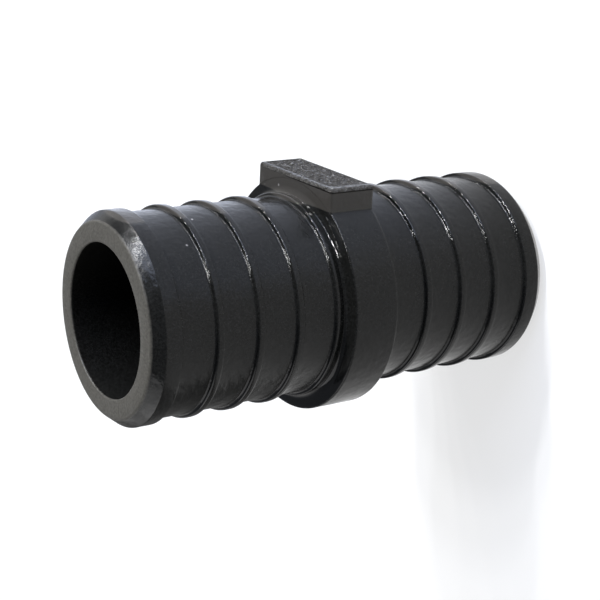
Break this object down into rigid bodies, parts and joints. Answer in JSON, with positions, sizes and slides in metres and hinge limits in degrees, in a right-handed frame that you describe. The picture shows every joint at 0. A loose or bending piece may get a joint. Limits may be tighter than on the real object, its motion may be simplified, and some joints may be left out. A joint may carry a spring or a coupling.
{
  "type": "pex crimp coupling",
  "caption": "Straight moulded insert coupling with ribbed spigots that crimp inside two plastic water tubes, a stop collar and a flat pad.",
  "frame": {"origin": "on the bore's axis, halfway between the two end faces", "axes": "+Z along the bore towards the mouth that the picture shows, -Y out of the pad"},
  "size_m": [0.0256, 0.0261, 0.05],
  "materials": {
    "moulded_body": "black moulded plastic with a soft sheen, rough and pitted on the pad"
  },
  "bodies": {
    "root": {"fitting_body": "moulded_body"}
  },
  "joints": []
}
